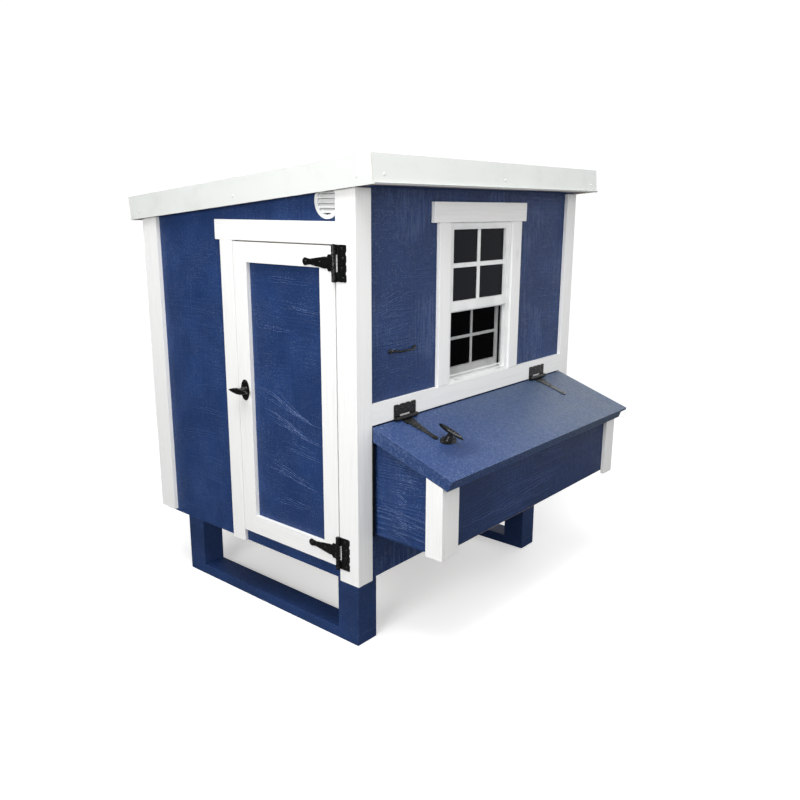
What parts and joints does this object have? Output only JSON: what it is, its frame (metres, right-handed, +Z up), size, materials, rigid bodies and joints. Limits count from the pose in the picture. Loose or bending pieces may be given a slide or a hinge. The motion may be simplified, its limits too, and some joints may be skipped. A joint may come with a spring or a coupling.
{
  "type": "chicken coop",
  "caption": "Raised timber chicken coop with a sloping metal roof, framed entry door, sash window and an outside nest box under a hinged lid.",
  "frame": {"origin": "middle of the underside of the front skid, the one under the door wall", "axes": "+Z up; the door wall faces -Y; the window wall with the nest box faces +X; the roof rises towards +X"},
  "size_m": [1.3941, 1.3005, 1.5326],
  "materials": {
    "blue_timber": "navy paint on sawn timber",
    "bare_timber": "bare pine",
    "plywood": "bare plywood",
    "blue_siding": "navy paint on grain-embossed siding",
    "blue_paint": "navy paint, weathered sheen",
    "white_timber": "white paint",
    "white_window": "white enamel",
    "window_glass": "tinted float glass",
    "black_hardware": "black hammered coating",
    "zinc_steel": "zinc plated",
    "roof_metal": "off-white coated steel"
  },
  "bodies": {
    "coop": {"skids": "blue_timber", "legs": "blue_timber", "floor_frame": "bare_timber", "floor_panel": "plywood", "wall_plates": "bare_timber", "wall_studs": "bare_timber", "door_stops": "bare_timber", "rafters": "bare_timber", "door_wall_panel": "blue_siding", "back_wall_panel": "blue_siding", "window_wall_panel": "blue_siding", "rear_wall_panel": "blue_siding", "hinge_pads": "black_hardware", "hinge_pins": "black_hardware", "hinge_pad_screws": "black_hardware", "end_corner_boards": "white_timber", "side_corner_boards": "white_timber", "door_header": "white_timber", "door_casing": "white_timber", "hinge_board": "white_timber", "window_casings": "white_timber", "window_frame": "white_window", "upper_sash": "white_window", "upper_glass": "window_glass", "nest_ends": "blue_siding", "nest_front": "blue_siding", "nest_floor": "bare_timber", "nest_dividers": "bare_timber", "nest_corner_boards": "white_timber", "louvre_vent": "white_window", "pull_handle": "black_hardware", "roost_bars": "bare_timber", "roost_cleats": "bare_timber", "pop_door_rails": "white_timber", "roof_sheet": "roof_metal", "roof_deck": "plywood", "roof_rails": "bare_timber", "roof_screws": "roof_metal", "soffit_boards": "blue_siding"},
    "door": {"door_bottom_rail": "white_timber", "door_top_rail": "white_timber", "door_hinge_stile": "white_timber", "door_latch_stile": "white_timber", "door_panel": "blue_siding", "door_hinge_straps": "black_hardware", "door_screws": "black_hardware", "door_latch_base": "black_hardware"},
    "door_latch": {"door_latch_handle": "black_hardware", "door_latch_cam": "zinc_steel"},
    "nest_lid": {"lid_panel": "blue_paint", "lid_frame": "blue_paint", "lid_hinge_straps": "black_hardware", "lid_screws": "black_hardware", "lid_latch_base": "black_hardware"},
    "lid_latch": {"lid_latch_handle": "black_hardware", "lid_latch_cam": "zinc_steel"},
    "window_sash": {"lower_sash": "white_window", "lower_glass": "window_glass"},
    "pop_door": {"pop_door": "blue_siding", "pop_door_knob": "black_hardware"}
  },
  "joints": [
    {"name": "door_swing", "type": "hinge", "parent": "coop", "child": "door", "pos_m": [0.44905, -0.1281, 0.8], "axis": [0, 0, 1], "range_deg": [0, 170]},
    {"name": "door_latch_turn", "type": "hinge", "parent": "door", "child": "door_latch", "pos_m": [0.02605, -0.1209, 0.808], "axis": [0, 1, 0], "range_deg": [0, 90]},
    {"name": "lid_lift", "type": "hinge", "parent": "coop", "child": "nest_lid", "pos_m": [0.53625, 0.5016, 0.76362], "axis": [0, -1, 0], "range_deg": [0, 90]},
    {"name": "lid_latch_turn", "type": "hinge", "parent": "nest_lid", "child": "lid_latch", "pos_m": [0.67705, 0.1221, 0.70691], "axis": [-0.3291, 0, -0.9443], "range_deg": [0, 90]},
    {"name": "window_slide", "type": "slide", "parent": "coop", "child": "window_sash", "axis": [0, 0, 1], "range_m": [0, 0.2]},
    {"name": "pop_door_lift", "type": "slide", "parent": "coop", "child": "pop_door", "axis": [0, 0, 1], "range_m": [0, 0.315]}
  ]
}
